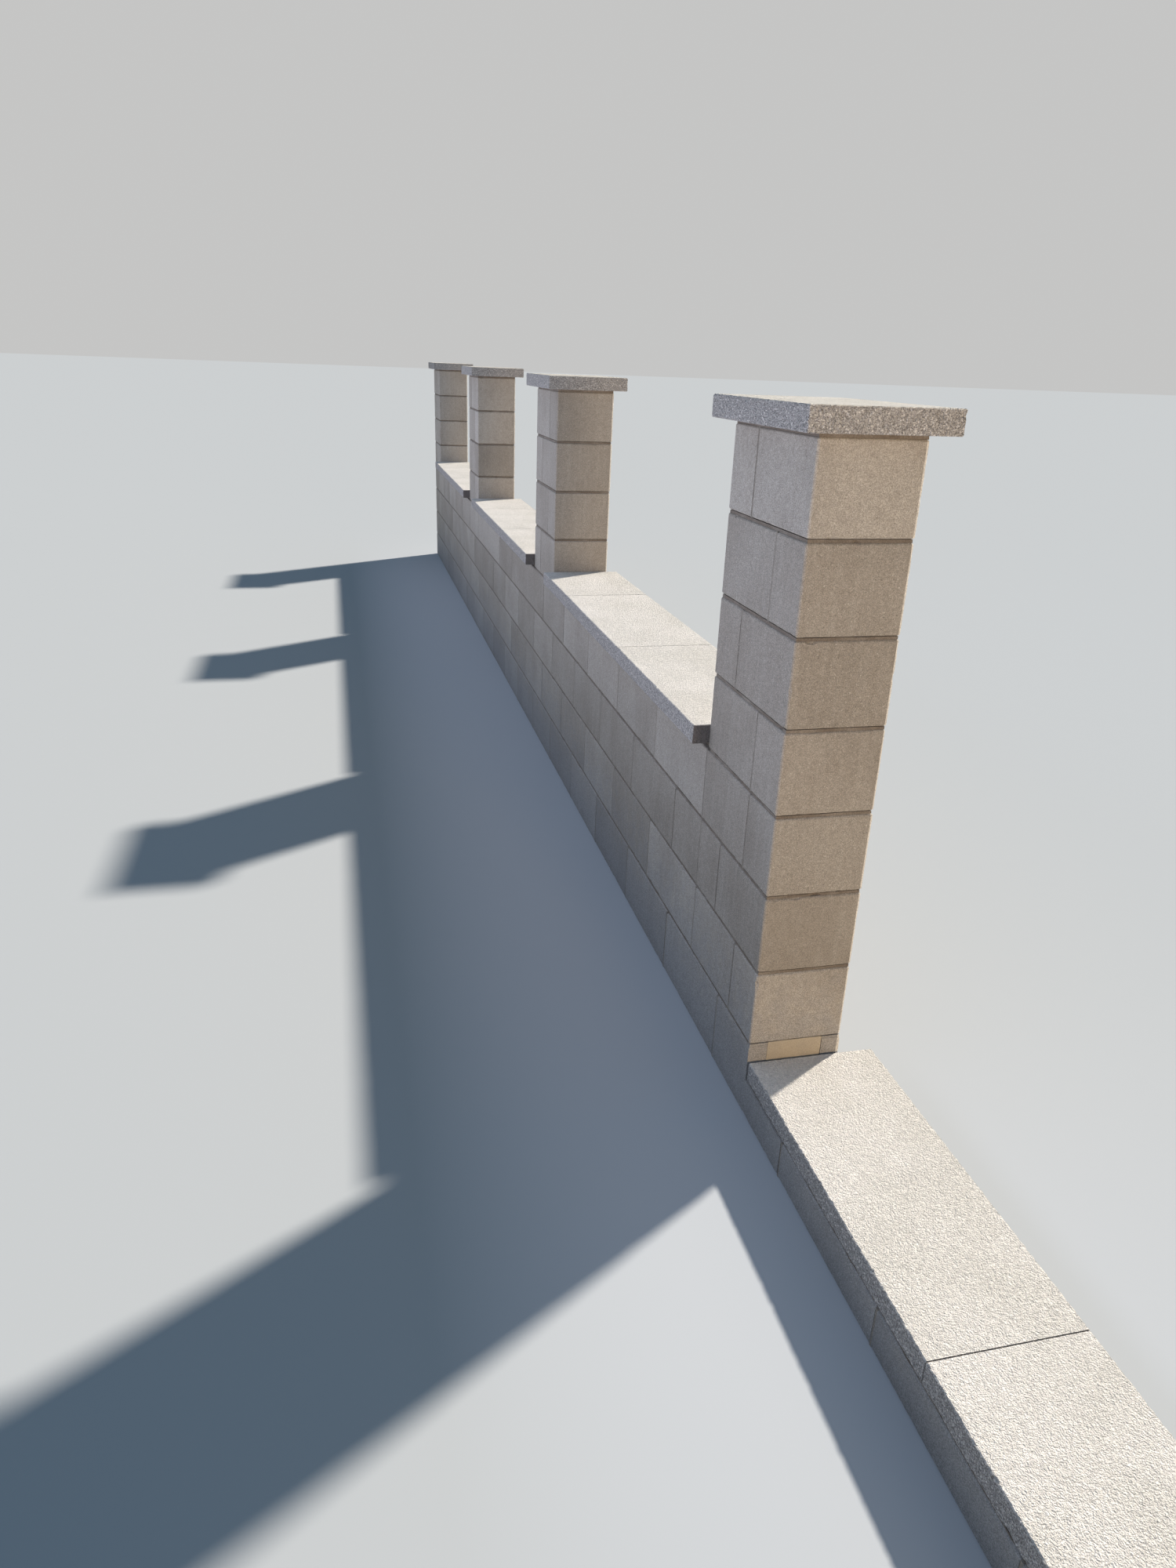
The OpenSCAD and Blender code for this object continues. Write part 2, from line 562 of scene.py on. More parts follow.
def lay_sawn_block(whole, front, low, high, sawn_top, sizes, draw):
    """Lays the block that is sawn down in front of the wall and shows its shells and pocket."""
    part = new_part()
    add_box(part, low, Vector((high.x, high.y, sawn_top)))
    raise_rear(part, front, low, high, sawn_top)
    sink_pocket(part, front, low, high, sawn_top)
    rounded = [
        edge for edge in edges_along(part, X)
        if edge.is_convex
        and any(within(edge, Y, side, HAIR) for side in (low.y, high.y))
        and not within(edge, Z, sawn_top, HAIR)
    ]
    bevel_edges(part, rounded, sizes.arris)
    cut_edges(part, edges_along(part, X), sizes.step)
    finish_block(whole, part, low, high, sizes, draw)


def mortar_depth(sizes, recess, shift):
    """How far the mortar stands out at a point: ripples, deep voids and spots that are full."""
    def depth_at(point):
        place = point + shift
        depth = sizes.ripple * noise.noise(place * RIPPLE_GRAIN)
        depth -= sizes.void * bump_above(place, VOID_GRAIN, VOID_LEVEL)
        depth += FULL_SHARE * recess * bump_above(place + shift, FULL_GRAIN, FULL_LEVEL)
        return depth
    return depth_at


def lay_mortar(whole, low, high, recess, rows, sizes, draw):
    """Lays a strip of mortar between blocks or under a slab, with rough seen sides.

    Its top is set back a little way, so that a dark crevice shows under the block or slab above.
    """
    inset = Vector((recess, recess, 0.0))
    low = low + inset
    high = high - inset
    tallest_crevice = 0.3 * (high.z - low.z)
    strip_high = high - UP * min(sizes.crevice, tallest_crevice)
    part = new_part()
    add_box(part, low, strip_high)
    cut_edges(part, edges_along(part, X), sizes.step)
    for end in (low.x, high.x):
        cut_edges(part, rim_along(part, Y, end), sizes.step)
    cut_edges(part, edges_along(part, Z), (strip_high.z - low.z) / rows)
    set_back = Vector((CREVICE_DEPTH, CREVICE_DEPTH, 0.0))
    add_box(part, low + set_back + UP * (strip_high.z - low.z), high - set_back)
    shift = mark_part(part, draw)
    press_sides(part, low, high, mortar_depth(sizes, recess, shift))
    join_part(whole, part)


def fill_upright_joints(whole, low, high, joints, blocks, sizes, draw):
    """Fills the upright joints of one course from its front."""
    half = blocks.upright_joint / 2
    middle = 0.5 * (low.y + high.y)
    for joint in joints:
        x = high.x - joint
        part = new_part()
        strip_low = Vector((x - half, low.y + sizes.upright_recess, low.z))
        strip_high = Vector((x + half, high.y - sizes.upright_recess, high.z))
        add_box(part, strip_low, strip_high)
        cut_edges(part, edges_along(part, Z), sizes.step)
        shift = mark_part(part, draw)
        pale = part.verts.layers.float["pale"]
        for vert in part.verts:
            vert[pale] = 1.0
            push = UPRIGHT_RIPPLE * noise.noise((vert.co + shift) * UPRIGHT_GRAIN)
            vert.co.y += push if vert.co.y > middle else -push
        join_part(whole, part)


def meeting_ends(node, prefix):
    """Ends of a slab along X that stand close to another slab of its row."""
    low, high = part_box(node)
    others = [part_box(other) for number, other in numbered(prefix)]
    near = [low.x for other in others if 0.0 < low.x - other[1].x < WIDEST_SLAB_GAP]
    return near + [high.x for other in others if 0.0 < other[0].x - high.x < WIDEST_SLAB_GAP]


def tighten_ends(part, low, high, ends, sizes):
    """Draws the ends that meet another slab out to it and takes most of their wear back."""
    depth = sizes.arris + sizes.ragged + sizes.relief
    for vert in part.verts:
        for end in ends:
            outward = 1.0 if end > 0.5 * (low.x + high.x) else -1.0
            reach = (vert.co.x - end) * outward
            if reach > -depth:
                vert.co.x = end + outward * (sizes.joint_close + reach * sizes.joint_wear)


def seal_ends(part, ends, reach):
    """Marks the points within reach of the ends that are painted dark."""
    sealed = part.verts.layers.float["sealed"]
    for vert in part.verts:
        if any(abs(vert.co.x - end) < reach for end in ends):
            vert[sealed] = 1.0


def stone_slab(low, high, sizes, draw, sealed_ends=(), tight_ends=()):
    """A slab with ragged edges and grainy sides. Its sealed ends are painted dark."""
    whole = new_part()
    part = new_part()
    add_box(part, low, high)
    bevel_edges(part, part.edges[:], sizes.arris, 2)
    cut_edges(part, edges_along(part, X), sizes.step)
    for end in (low.x, high.x):
        cut_edges(part, rim_along(part, Y, end, sizes.arris * ARRIS_REACH), sizes.step)
    cut_edges(part, edges_along(part, Z), (high.z - low.z) / sizes.rows)
    shift = mark_part(part, draw)
    seal_ends(part, sealed_ends, SEALED_SHARE * sizes.arris)
    press_sides(part, low, high,
                lambda point: -sizes.relief * soft_noise(point + shift, SLAB_GRAIN))
    rub_arrises(part, low, high, sizes.arris, sizes.ragged, sizes.ragged, shift,
                SLAB_CHIP_DENSITY)
    tighten_ends(part, low, high, tight_ends, sizes)
    join_part(whole, part)
    return whole


def lay_slab(node, seed, sealed_ends=(), tight_ends=()):
    """Lays the stone slab that stands for a node."""
    low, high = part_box(node)
    sizes = bpy.context.scene.wall_slabs
    whole = stone_slab(low, high, sizes, random.Random(seed), sealed_ends, tight_ends)
    finish_piece(f"{node}_stone", whole, "slab_stone", [node])


def lay_bed(node, seed):
    """Lays the mortar bed that stands for a node and carries slabs."""
    low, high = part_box(node)
    sizes = bpy.context.scene.wall_mortar
    whole = new_part()
    lay_mortar(whole, low, high, 0.0, SLAB_BED_ROWS, sizes, random.Random(seed))
    finish_piece(f"{node}_mortar", whole, "mortar", [node])


def add_node(tree, kind, inputs=None, **settings):
    """Adds a shader node, sets it up and links or fills its inputs."""
    node = tree.nodes.new(kind)
    for name, value in settings.items():
        setattr(node, name, value)
    for name, value in (inputs or {}).items():
        if isinstance(value, bpy.types.NodeSocket):
            tree.links.new(value, node.inputs[name])
        else:
            node.inputs[name].default_value = value
    return node


def math_node(tree, operation, first, second=0.0, third=0.0):
    """A Math node's result."""
    inputs = {0: first, 1: second, 2: third}
    return add_node(tree, "ShaderNodeMath", inputs, operation=operation).outputs[0]


def remap(tree, value, low, high, to_low=0.0, to_high=1.0):
    """A smooth step from one range to another."""
    inputs = {"Value": value, "From Min": low, "From Max": high,
              "To Min": to_low, "To Max": to_high}
    node = add_node(tree, "ShaderNodeMapRange", inputs, interpolation_type="SMOOTHSTEP")
    return node.outputs["Result"]


def mix_colours(tree, factor, first, second):
    """Blends two colours."""
    node = add_node(tree, "ShaderNodeMix", data_type="RGBA")
    sockets = {0: factor, 6: first, 7: second}
    for place, value in sockets.items():
        if isinstance(value, bpy.types.NodeSocket):
            tree.links.new(value, node.inputs[place])
        else:
            node.inputs[place].default_value = value
    return node.outputs[2]


def tint(tree, colour, other, mask, share):
    """Lays a share of another colour over a colour where a mask shows it."""
    return mix_colours(tree, math_node(tree, "MULTIPLY", mask, share), colour, other)


def noise_field(tree, vector, scale, detail=2.0, roughness=0.5):
    """A noise texture's value."""
    inputs = {"Vector": vector, "Scale": scale, "Detail": detail, "Roughness": roughness}
    return add_node(tree, "ShaderNodeTexNoise", inputs).outputs[0]


def cell_field(tree, vector, scale):
    """Cells: the distance from each cell's middle, and each cell's own random values."""
    cells = add_node(tree, "ShaderNodeTexVoronoi", {"Vector": vector, "Scale": scale})
    split = add_node(tree, "ShaderNodeSeparateColor", {"Color": cells.outputs["Color"]})
    return cells.outputs["Distance"], split.outputs


def new_group(name, inputs, outputs):
    """A shader node group with named inputs and outputs. Vector is always its first input."""
    tree = bpy.data.node_groups.new(name, "ShaderNodeTree")
    new_socket = tree.interface.new_socket
    new_socket(name="Vector", in_out="INPUT", socket_type="NodeSocketVector")
    for label, default in inputs.items():
        socket = new_socket(name=label, in_out="INPUT", socket_type="NodeSocketFloat")
        socket.default_value = default
    for label in outputs:
        new_socket(name=label, in_out="OUTPUT", socket_type="NodeSocketFloat")
    enter = tree.nodes.new("NodeGroupInput")
    leave = tree.nodes.new("NodeGroupOutput")
    return tree, enter.outputs, leave.inputs


def sand_grain_group():
    """The sandy grain of pressed concrete: single grains of sand in a softer paste."""
    tree, given, result = new_group("sand_grain", {"Grain Size": 0.002}, ("Value", "Height"))
    scale = math_node(tree, "DIVIDE", 1.0, given["Grain Size"])
    distance, sand = cell_field(tree, given["Vector"], scale)
    paste_scale = math_node(tree, "MULTIPLY", scale, 2.1)
    paste = remap(tree, noise_field(tree, given["Vector"], paste_scale, 1.0, 0.5), 0.30, 0.70)
    blend = math_node(tree, "MULTIPLY_ADD", sand[0], 0.6, math_node(tree, "MULTIPLY", paste, 0.4))
    rise = math_node(tree, "MULTIPLY_ADD", distance, -0.6, blend)
    tree.links.new(blend, result["Value"])
    tree.links.new(rise, result["Height"])
    return tree


def pits_group():
    """Scattered small pits or specks."""
    tree, given, result = new_group(
        "pits", {"Spacing": 0.02, "Width": 0.2, "Share": 0.5}, ("Mask",))
    scale = math_node(tree, "DIVIDE", 1.0, given["Spacing"])
    distance, split = cell_field(tree, given["Vector"], scale)
    chosen = math_node(tree, "LESS_THAN", split[0], given["Share"])
    width = math_node(tree, "MULTIPLY", given["Width"], split[1])
    spot = remap(tree, math_node(tree, "SUBTRACT", width, distance), 0.0, 0.06)
    tree.links.new(math_node(tree, "MULTIPLY", spot, chosen), result["Mask"])
    return tree


def clouds_group():
    """Large soft clouds, as damp and lime leave them."""
    tree, given, result = new_group(
        "clouds", {"Size": 0.2, "Threshold": 0.5, "Softness": 0.12}, ("Mask",))
    scale = math_node(tree, "DIVIDE", 1.0, given["Size"])
    field = noise_field(tree, given["Vector"], scale, 2.0, 0.45)
    low = math_node(tree, "SUBTRACT", given["Threshold"], given["Softness"])
    high = math_node(tree, "ADD", given["Threshold"], given["Softness"])
    tree.links.new(remap(tree, field, low, high), result["Mask"])
    return tree


def streaks_group():
    """Faint upright streaks, as water leaves them."""
    tree, given, result = new_group("streaks", {"Spacing": 0.02}, ("Mask",))
    upright = {"Vector": given["Vector"], "Scale": (1.0, 1.0, 0.07)}
    stretched = add_node(tree, "ShaderNodeMapping", upright)
    scale = math_node(tree, "DIVIDE", 1.0, given["Spacing"])
    field = noise_field(tree, stretched.outputs[0], scale, 3.0, 0.6)
    tree.links.new(remap(tree, field, 0.42, 0.68), result["Mask"])
    return tree


def grains_group():
    """The mixed pale and dark grains of the stone slabs, large ones and small ones."""
    tree, given, result = new_group("grains", {"Grain Size": 0.004}, ("Value", "Height"))
    scale = math_node(tree, "DIVIDE", 1.0, given["Grain Size"])
    large_distance, large = cell_field(tree, given["Vector"], scale)
    fine_scale = math_node(tree, "MULTIPLY", scale, 1.9)
    small_distance, small = cell_field(tree, given["Vector"], fine_scale)
    value = math_node(tree, "MULTIPLY", large[0], 0.40)
    value = math_node(tree, "MULTIPLY_ADD", small[0], 0.60, value)
    height = math_node(tree, "MULTIPLY", large_distance, -0.6)
    height = math_node(tree, "MULTIPLY_ADD", small_distance, -0.3, height)
    height = math_node(tree, "MULTIPLY_ADD", large[1], 0.5, height)
    tree.links.new(value, result["Value"])
    tree.links.new(height, result["Height"])
    return tree


def foot_splash_group():
    """A mask that fades with height from the ground, for splashed soil and dust and for painted
    shade near the ground.
    """
    tree, given, result = new_group("foot_dirt_and_shade", {"Reach": 0.15}, ("Mask",))
    height = add_node(tree, "ShaderNodeSeparateXYZ", {"Vector": given["Vector"]}).outputs["Z"]
    field = noise_field(tree, given["Vector"], 22.0, 4.0, 0.65)
    level = math_node(tree, "MULTIPLY", given["Reach"], field)
    closeness = math_node(tree, "DIVIDE", height, level)
    tree.links.new(remap(tree, closeness, 2.0, 0.0), result["Mask"])
    return tree


GROUP_MAKERS = {
    "sand_grain": sand_grain_group,
    "pits": pits_group,
    "clouds": clouds_group,
    "streaks": streaks_group,
    "grains": grains_group,
    "foot_dirt_and_shade": foot_splash_group,
}


def effect(tree, name, vector, **values):
    """Places a shared effect with its own values, and returns its outputs."""
    group = bpy.data.node_groups.get(name) or GROUP_MAKERS[name]()
    node = tree.nodes.new("ShaderNodeGroup")
    node.node_tree = group
    tree.links.new(vector, node.inputs["Vector"])
    for label, value in values.items():
        node.inputs[label.replace("_", " ").title()].default_value = value
    return node.outputs


def mask_of(tree, name, vector, **values):
    """The mask that a shared effect gives with its own values."""
    return effect(tree, name, vector, **values)["Mask"]


def new_material(name):
    """A material with its shader, the object's own place and a place moved for each part."""
    material = bpy.data.materials.new(name)
    material.use_nodes = True
    tree = material.node_tree
    shader = tree.nodes["Principled BSDF"]
    place = add_node(tree, "ShaderNodeTexCoord").outputs["Object"]
    shift = add_node(tree, "ShaderNodeAttribute", attribute_name="shift").outputs["Vector"]
    moved = add_node(tree, "ShaderNodeVectorMath", {0: place, 1: shift}, operation="ADD")
    return material, tree, shader, place, moved.outputs[0]


def mark_value(tree, name):
    """The value of a mark that the meshes carry."""
    return add_node(tree, "ShaderNodeAttribute", attribute_name=name).outputs["Fac"]


def finish_material(tree, shader, colour, value, height, depth, roughness):
    """Shades a colour with a grain's value and puts the grain's relief on the shader."""
    brightness = {"Color": colour, "Value": value}
    shaded = add_node(tree, "ShaderNodeHueSaturation", brightness).outputs["Color"]
    tree.links.new(shaded, shader.inputs["Base Color"])
    relief = {"Height": height, "Distance": depth, "Strength": 1.0}
    bump = add_node(tree, "ShaderNodeBump", relief)
    tree.links.new(bump.outputs["Normal"], shader.inputs["Normal"])
    shader.inputs["Roughness"].default_value = roughness
    shader.inputs["Specular IOR Level"].default_value = 0.25


def facing_along(tree, axis):
    """How far a surface faces along one axis."""
    normal = add_node(tree, "ShaderNodeNewGeometry").outputs["Normal"]
    return add_node(tree, "ShaderNodeSeparateXYZ", {"Vector": normal}).outputs[axis]


def bleached_corners(tree, place, moved):
    """A painted highlight along the garden-side upright corners, where the sun catches them."""
    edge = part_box("pier_1")[1].y
    start, full = edge - 0.0058, edge - 0.0048
    wander_grain, wander_width = 60.0, 0.0015
    across = add_node(tree, "ShaderNodeSeparateXYZ", {"Vector": place}).outputs["Y"]
    field = noise_field(tree, moved, wander_grain)
    wander = math_node(tree, "MULTIPLY_ADD", field, wander_width, across)
    strip = remap(tree, wander, start, full)
    ends = remap(tree, math_node(tree, "ABSOLUTE", facing_along(tree, "X")), 0.2, 0.5)
    return math_node(tree, "MULTIPLY", strip, ends)


def pressed_concrete(colours):
    """Smooth pressed concrete: sandy, softly clouded, each block with its own tone."""
    material, tree, shader, place, moved = new_material("pressed_concrete")
    tone = remap(tree, mark_value(tree, "tone"), -1.0, 1.0)
    colour = mix_colours(tree, tone, colours.block_deep, colours.block_pale)
    damp = mask_of(tree, "clouds", moved, size=0.24, threshold=0.58, softness=0.22)
    colour = tint(tree, colour, colours.block_stain, damp, 0.42)
    mottle = mask_of(tree, "clouds", moved, size=0.016, threshold=0.54, softness=0.16)
    colour = tint(tree, colour, colours.block_stain, mottle, 0.20)
    bloom = mask_of(tree, "clouds", moved, size=0.40, threshold=0.58, softness=0.20)
    streaks = math_node(tree, "MULTIPLY", mask_of(tree, "streaks", moved, spacing=0.014), 0.12)
    pale = math_node(tree, "MULTIPLY_ADD", bloom, 0.26, streaks)
    colour = mix_colours(tree, pale, colour, colours.block_bloom)
    # Painted shade: the blocks turn cooler and darker towards the ground.
    foot = mask_of(tree, "foot_dirt_and_shade", place, reach=0.42)
    colour = tint(tree, colour, colours.block_damp, foot, 0.45)
    splash = mask_of(tree, "foot_dirt_and_shade", place, reach=0.06)
    colour = tint(tree, colour, colours.dirt, splash, 0.18)
    pits = mask_of(tree, "pits", moved, spacing=0.0060, width=0.24, share=0.55)
    colour = tint(tree, colour, colours.dirt, pits, 0.62)
    specks = mask_of(tree, "pits", moved, spacing=0.0065, width=0.28, share=0.60)
    colour = tint(tree, colour, colours.slab_top, specks, 0.26)
    # Painted highlight: a pale line along the garden-side upright corners.
    colour = tint(tree, colour, colours.slab_top, bleached_corners(tree, place, moved), 0.9)
    grain = effect(tree, "sand_grain", moved, grain_size=0.0017)
    value = remap(tree, grain["Value"], 0.0, 1.0, 0.67, 1.33)
    height = math_node(tree, "MULTIPLY_ADD", pits, -0.8, grain["Height"])
    finish_material(tree, shader, colour, value, height, depth=0.0009, roughness=0.93)
    return material


def blasted_stone(colours):
    """Blasted stone slabs: grainy sides and an evenly rough top, paler partly as painted light.
    """
    material, tree, shader, place, moved = new_material("blasted_stone")
    grains = effect(tree, "grains", moved, grain_size=0.0028)
    spread = remap(tree, grains["Value"], 0.18, 0.78)
    sides = tint(tree, colours.slab_dark, colours.slab_pale, spread, 0.62)
    spar = mask_of(tree, "pits", moved, spacing=0.0046, width=0.60, share=0.62)
    sides = tint(tree, sides, colours.slab_pale, spar, 0.85)
    top = tint(tree, colours.slab_top, colours.slab_dark, spread, 0.36)
    dull = mask_of(tree, "clouds", moved, size=0.17, threshold=0.53, softness=0.20)
    top = tint(tree, top, colours.slab_pale, dull, 0.5)
    # The tops are paler than the sides: partly a paler, drier top and partly painted light from
    # above.
    upward = facing_along(tree, "Z")
    colour = mix_colours(tree, remap(tree, upward, 0.45, 0.90), sides, top)
    colour = mix_colours(tree, mark_value(tree, "sealed"), colour, colours.slab_sealed)
    grit = effect(tree, "sand_grain", moved, grain_size=0.0060)
    value = remap(tree, grit["Value"], 0.0, 1.0, 0.88, 1.10)
    height = math_node(tree, "MULTIPLY_ADD", grit["Height"], 1.5, grains["Height"])
    height = math_node(tree, "MULTIPLY_ADD", spar, 0.4, height)
    height = math_node(tree, "MULTIPLY", height, remap(tree, upward, 0.45, 0.90, 1.0, 0.68))
    finish_material(tree, shader, colour, value, height, depth=0.0036, roughness=0.85)
    return material


def joint_mortar(colours):
    """Mortar in the joints: brown grey, sandy, with darker damp spots."""
    material, tree, shader, place, moved = new_material("joint_mortar")
    clouds = mask_of(tree, "clouds", moved, size=0.05, threshold=0.6, softness=0.2)
    clouds = math_node(tree, "MULTIPLY", clouds, 0.6)
    upright = math_node(tree, "MULTIPLY", mark_value(tree, "pale"), 0.8)
    pale = math_node(tree, "MAXIMUM", clouds, upright)
    colour = mix_colours(tree, pale, colours.mortar, colours.block_deep)
    pits = mask_of(tree, "pits", moved, spacing=0.007, width=0.30, share=0.35)
    colour = tint(tree, colour, colours.dirt, pits, 0.6)
    grain = effect(tree, "sand_grain", moved, grain_size=0.0018)
    value = remap(tree, grain["Value"], 0.0, 1.0, 0.70, 1.28)
    finish_material(tree, shader, colour, value, grain["Height"], depth=0.0010, roughness=0.95)
    return material


def poured_concrete(colours):
    """Poured concrete in the sawn block: smoother and yellower than the blocks."""
    material, tree, shader, place, moved = new_material("poured_concrete")
    damp = mask_of(tree, "clouds", moved, size=0.05, threshold=0.55, softness=0.2)
    colour = tint(tree, colours.fill, colours.block_deep, damp, 0.4)
    pits = mask_of(tree, "pits", moved, spacing=0.016, width=0.16, share=0.25)
    colour = tint(tree, colour, colours.dirt, pits, 0.6)
    grain = effect(tree, "sand_grain", moved, grain_size=0.0016)
    value = remap(tree, grain["Value"], 0.0, 1.0, 0.86, 1.12)
    finish_material(tree, shader, colour, value, grain["Height"], depth=0.0004, roughness=0.9)
    return material


MATERIAL_MAKERS = {
    "block_concrete": pressed_concrete,
    "slab_stone": blasted_stone,
    "mortar": joint_mortar,
    "fill_concrete": poured_concrete,
}


def material_for(slot):
    """The material of the pieces in a slot, made on its first use."""
    maker = MATERIAL_MAKERS[slot]
    return bpy.data.materials.get(maker.__name__) or maker(bpy.context.scene.wall_colours)


class GARDENWALL_OT_lay_courses(bpy.types.Operator):
    """Lays the blocks of the low wall's courses, with the sill's blocks in front of the first"""

    bl_idname = "garden_wall.lay_courses"
    bl_label = "Lay Courses"

    def execute(self, context):
        sizes = context.scene.wall_blocks
        for course, node in numbered("wall_course"):
            draw = random.Random(sizes.wall_seed + course)
            low, high = course_box(node)
            joints = course_joints(course, high.x - low.x, sizes.whole)
            whole = new_part()
            nodes = [node]
            if course == 1:
                self.lay_bottom_course(whole, low, high, joints, sizes, draw)
                nodes.append("sill_course")
            else:
                lay_course(whole, low, high, joints, sizes, draw)
            finish_piece(f"course_{course}_blocks", whole, "block_concrete", nodes)
        return {"FINISHED"}

    def lay_bottom_course(self, whole, low, high, joints, sizes, draw):
        """The bottom course: the sawn block, the wall behind it and the low sill in front."""
        front = high.x
        gap = sizes.upright_joint / 2
        half = sizes.whole / 2 - gap
        sawn_top = sill_blocks_top()
        block_low = Vector((front - half, low.y, low.z))
        block_high = Vector((front + half, high.y, high.z))
        lay_sawn_block(whole, front, block_low, block_high, sawn_top, sizes, draw)
        self.close_sawn_joint(whole, front, low, high, draw)
        behind = [joint - joints[0] - gap for joint in joints[1:]]
        rear_high = Vector((front - joints[0] - gap, high.y, high.z))
        lay_course(whole, low, rear_high, behind, sizes, draw)
        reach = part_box("sill_course")[1].x - front
        marks = [joint for joint in joints if joint < reach]
        for start, end in zip(marks, [*marks[1:], reach + gap]):
            sill_low = Vector((front + start + gap, low.y, low.z))
            sill_high = Vector((front + end - gap, high.y, sawn_top))
            seen = [sill_high.x] if end > reach else []
            lay_block(whole, sill_low, sill_high, seen, sizes, draw)

    def close_sawn_joint(self, whole, front, low, high, draw):
        """Fills the bed joint over both shells of the sawn block up to a thin, uneven gap."""
        inset, sunk, depth, set_back = 0.002, 0.001, 0.012, 0.0003
        widest_gap, deepest_hollow, grain = 0.0022, 0.0009, 55.0
        core_low, core_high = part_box("core_fill")
        for near, far in ((low.y + inset, core_low.y), (core_high.y, high.y - inset)):
            part = new_part()
            strip_low = Vector((front - depth, near, high.z - sunk))
            strip_high = Vector((front - set_back, far, high.z + BED_JOINT))
            add_box(part, strip_low, strip_high)
            cut_edges(part, edges_along(part, Y), FILL_STEP)
            shift = mark_part(part, draw)
            for vert in part.verts:
                spot = soft_noise(vert.co + shift, grain)
                if vert.co.z > high.z:
                    vert.co.z -= widest_gap * spot
                if vert.co.x > front - depth / 2:
                    vert.co.x -= deepest_hollow * spot
            join_part(whole, part)


def pier_courses(pier, node, whole):
    """Each block layer of a pier, with its upright joint's distance from the pier's front."""
    low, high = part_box(node)
    for course in range(round((high.z - low.z) / COURSE_HEIGHT)):
        floor = low.z + course * COURSE_HEIGHT + BED_JOINT
        joint = whole / 3 if (course + pier) % 2 == 1 else whole * 2 / 3
        layer_low = Vector((low.x, low.y, floor))
        layer_high = Vector((high.x, high.y, floor + BLOCK_HEIGHT))
        yield layer_low, layer_high, joint


class GARDENWALL_OT_raise_piers(bpy.types.Operator):
    """Raises the piers, one large and one small block in each course"""

    bl_idname = "garden_wall.raise_piers"
    bl_label = "Raise Piers"

    def execute(self, context):
        sizes = context.scene.wall_blocks
        for pier, node in numbered("pier"):
            draw = random.Random(sizes.pier_seed + pier)
            whole = new_part()
            for low, high, joint in pier_courses(pier, node, sizes.whole):
                lay_course(whole, low, high, [joint], sizes, draw)
            finish_piece(f"{node}_blocks", whole, "block_concrete", [node])
        return {"FINISHED"}


class GARDENWALL_OT_fill_joints(bpy.types.Operator):
    """Fills the bed joints and the upright joints of the wall and of the piers"""

    bl_idname = "garden_wall.fill_joints"
    bl_label = "Fill Joints"

    def execute(self, context):
        blocks = context.scene.wall_blocks
        sizes = context.scene.wall_mortar
        for course, node in numbered("wall_course"):
            draw = random.Random(COURSE_JOINT_SEED + course)
            low, high = course_box(node)
            joints = course_joints(course, high.x - low.x, blocks.whole)
            whole = new_part()
            self.fill_layer(whole, low, high, joints, blocks, sizes, draw, course > 1)
            if course == 1:
                self.fill_sill_joints(whole, low, high, joints, blocks, sizes, draw)
            finish_piece(f"course_{course}_joints", whole, "mortar", [])
        for pier, node in numbered("pier"):
            draw = random.Random(PIER_JOINT_SEED + pier)
            whole = new_part()
            for low, high, joint in pier_courses(pier, node, blocks.whole):
                self.fill_layer(whole, low, high, [joint], blocks, sizes, draw, True)
            finish_piece(f"{node}_joints", whole, "mortar", [])
        return {"FINISHED"}

    def fill_layer(self, whole, low, high, joints, blocks, sizes, draw, has_bed):
        """The upright joints of one layer of blocks, and the bed joint that it lies on."""
        fill_upright_joints(whole, low, high, joints, blocks, sizes, draw)
        if has_bed:
            lay_mortar(whole, *bed_below(low, high), sizes.recess, JOINT_ROWS, sizes, draw)

    def fill_sill_joints(self, whole, low, high, joints, blocks, sizes, draw):
        """The upright joints of the sill's blocks and the thin bed under its slabs."""
        bed_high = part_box("sill_course")[1]
        sawn_top = sill_blocks_top()
        reach = bed_high.x - high.x
        marks = [reach - joint for joint in joints if joint < reach]
        strip_high = Vector((bed_high.x, high.y, sawn_top))
        fill_upright_joints(whole, low, strip_high, marks, blocks, sizes, draw)
        bed_low = Vector((high.x - sizes.recess, low.y, sawn_top))
        lay_mortar(whole, bed_low, bed_high, sizes.recess, SILL_BED_ROWS, sizes, draw)


def roughen_fill(part, high, shift):
    """Makes the seen end, the garden side and the top of the fill uneven."""
    end_reach, end_rise, end_grain = 0.005, 0.0006, 60.0
    side_reach, side_rise, side_grain = 0.004, 0.0016, 90.0
    top_fall, top_grain, top_level = 0.0030, 45.0, 0.15
    for vert in part.verts:
        if vert.co.x > high.x - end_reach:
            vert.co.x += end_rise * noise.noise((vert.co + shift) * end_grain)
        if vert.co.y > high.y - side_reach:
            vert.co.y += side_rise * noise.noise((vert.co + shift) * side_grain)
        if vert.co.z > high.z:
            vert.co.z -= top_fall * bump_above(vert.co + shift, top_grain, top_level)


class GARDENWALL_OT_pour_fill(bpy.types.Operator):
    """Pours the concrete fill that shows between the shells of the sawn block"""

    bl_idname = "garden_wall.pour_fill"
    bl_label = "Pour Fill"

    def execute(self, context):
        proud, side_gap, garden_gap, overfill = 0.0007, 0.0002, 0.0020, 0.0012
        low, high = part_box("core_fill")
        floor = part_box("sill_slab_1")[0].z
        core_low = Vector((high.x - FILL_DEPTH, low.y + side_gap, floor))
        core_high = high + Vector((proud, -garden_gap, BED_JOINT + overfill))
        whole = new_part()
        part = new_part()
        add_box(part, core_low, core_high)
        for axis in (Y, Z):
            cut_edges(part, edges_along(part, axis), FILL_STEP)
        shift = mark_part(part, random.Random(FILL_SEED))
        roughen_fill(part, high, shift)
        join_part(whole, part)
        finish_piece("core_fill_concrete", whole, "fill_concrete", ["core_fill"])
        return {"FINISHED"}


